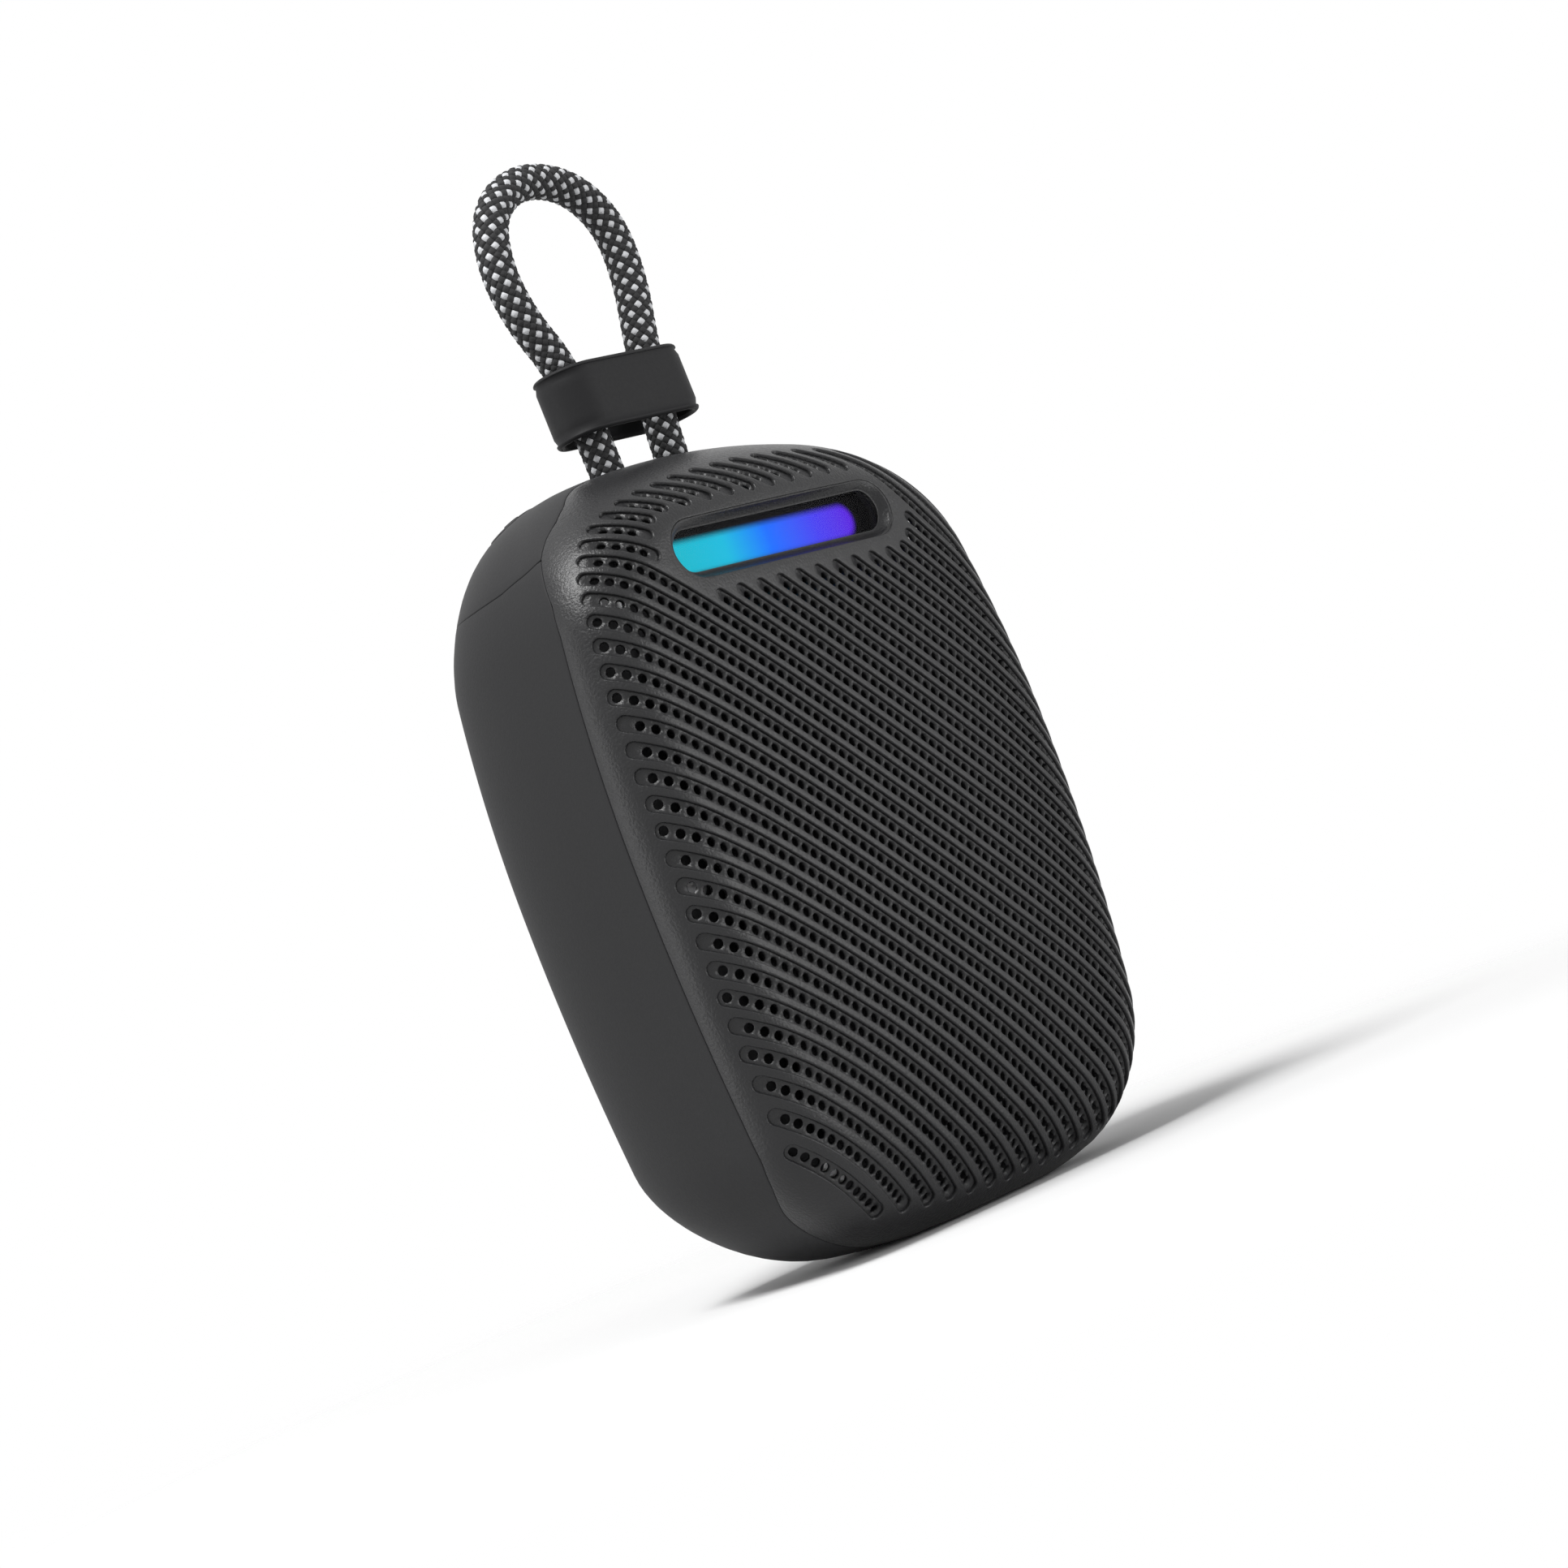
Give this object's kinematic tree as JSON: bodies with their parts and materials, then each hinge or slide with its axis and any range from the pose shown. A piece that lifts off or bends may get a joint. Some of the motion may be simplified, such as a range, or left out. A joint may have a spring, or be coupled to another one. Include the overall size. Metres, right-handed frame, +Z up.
{
  "type": "portable speaker",
  "caption": "Pocket-size waterproof wireless speaker: rounded upright shell with a grooved grille, a glowing light bar, top keys, and a rope hanging loop with a sliding band.",
  "frame": {"origin": "centre of the body's footprint, on the surface it stands on", "axes": "+X across the width to the right seen from the front, -Y out of the grille towards the listener, +Z up through the rope loop"},
  "size_m": [0.086, 0.044, 0.1662],
  "materials": {
    "soft_shell": "soft-touch matt dark grey",
    "soft_cover": "soft-touch matt grey, slightly lighter",
    "grille_plastic": "fine-textured satin dark plastic",
    "band_rubber": "matt black rubber",
    "foot_rubber": "matt black rubber",
    "seal_rubber": "soft grey silicone",
    "surround_rubber": "satin black rubber",
    "inner_plastic": "moulded black plastic",
    "screw_steel": "plated steel",
    "mesh_cloth": "fine black acoustic cloth",
    "smoked_lens": "clear smoked plastic window",
    "diffuser_white": "milky light diffuser",
    "circuit_board": "green solder mask",
    "led_white": "moulded lamp body",
    "lead_sleeve": "insulated wire",
    "driver_steel": "black-coated steel",
    "cone_paper": "coated paper",
    "coil_wire": "lacquered copper wire",
    "spider_cloth": "impregnated cloth",
    "magnet_dark": "ground ferrite",
    "cell_wrap": "shrink sleeve",
    "foam": "open-cell foam",
    "chip_black": "moulded black",
    "can_steel": "tinned steel",
    "rope_cord": "braided black cord with light grey flecks"
  },
  "bodies": {
    "housing": {"rear_shell": "soft_shell", "top_cover": "soft_cover", "base_foot": "foot_rubber", "front_grille": "grille_plastic", "front_baffle": "inner_plastic", "baffle_screws": "screw_steel", "housing_seal": "seal_rubber", "grille_mesh": "mesh_cloth", "light_lens": "smoked_lens", "light_bezel": "inner_plastic", "light_diffuser": "diffuser_white", "light_board": "circuit_board", "light_leds": "led_white", "light_lead": "lead_sleeve", "driver_gasket": "seal_rubber", "driver_basket": "driver_steel", "driver_surround": "surround_rubber", "driver_spider": "spider_cloth", "driver_top_plate": "driver_steel", "driver_magnet": "magnet_dark", "driver_yoke": "driver_steel", "driver_screws": "screw_steel", "radiator_surround": "surround_rubber", "speaker_lead": "lead_sleeve", "battery_cell": "cell_wrap", "battery_tray": "inner_plastic", "battery_foam": "foam", "battery_lead": "lead_sleeve", "main_board": "circuit_board", "board_screws": "screw_steel", "amplifier_chip": "chip_black", "radio_module": "can_steel", "board_capacitors": "can_steel", "board_coils": "chip_black", "microphone": "can_steel", "status_light": "diffuser_white", "charge_port": "can_steel", "port_flap_pin": "screw_steel", "key_board": "circuit_board", "key_board_screws": "screw_steel", "key_switches": "chip_black", "key_seal": "seal_rubber", "strap_anchor": "inner_plastic", "anchor_screws": "screw_steel", "strap_loop": "rope_cord"},
    "slider": {"strap_slider": "band_rubber"},
    "cone": {"driver_cone": "cone_paper", "driver_dust_cap": "cone_paper", "voice_coil": "coil_wire"},
    "radiator": {"radiator_plate": "driver_steel"},
    "flap": {"port_flap": "band_rubber"},
    "power_key": {"button_power": "band_rubber"},
    "pairing_key": {"button_pairing": "band_rubber"},
    "play_key": {"button_play": "band_rubber"},
    "minus_key": {"button_minus": "band_rubber"},
    "plus_key": {"button_plus": "band_rubber"}
  },
  "joints": [
    {"name": "slider_slide", "type": "slide", "parent": "housing", "child": "slider", "axis": [0, 0, 1], "range_m": [-0.0012, 0.001]},
    {"name": "cone_move", "type": "slide", "parent": "housing", "child": "cone", "axis": [0, 1, 0], "range_m": [-0.0012, 0.0012], "stiffness_N_per_m": 1500, "deforming": ["driver_surround", "driver_spider"]},
    {"name": "radiator_move", "type": "slide", "parent": "housing", "child": "radiator", "axis": [0, 1, 0], "range_m": [-0.0012, 0.0012], "stiffness_N_per_m": 900, "deforming": ["radiator_surround"]},
    {"name": "flap_hinge", "type": "hinge", "parent": "housing", "child": "flap", "pos_m": [0, 0.0209, 0.0417], "axis": [-1, 0, 0], "range_deg": [0, 105]},
    {"name": "power_press", "type": "slide", "parent": "housing", "child": "power_key", "axis": [0, 0, -1], "range_m": [0, 0.0005], "stiffness_N_per_m": 800, "springref_m": -0.0006},
    {"name": "pairing_press", "type": "slide", "parent": "housing", "child": "pairing_key", "axis": [0, 0, -1], "range_m": [0, 0.0005], "stiffness_N_per_m": 800, "springref_m": -0.0006},
    {"name": "play_press", "type": "slide", "parent": "housing", "child": "play_key", "axis": [0, 0, -1], "range_m": [0, 0.0005], "stiffness_N_per_m": 800, "springref_m": -0.0006},
    {"name": "minus_press", "type": "slide", "parent": "housing", "child": "minus_key", "axis": [0, 0, -1], "range_m": [0, 0.0005], "stiffness_N_per_m": 800, "springref_m": -0.0006},
    {"name": "plus_press", "type": "slide", "parent": "housing", "child": "plus_key", "axis": [0, 0, -1], "range_m": [0, 0.0005], "stiffness_N_per_m": 800, "springref_m": -0.0006}
  ]
}
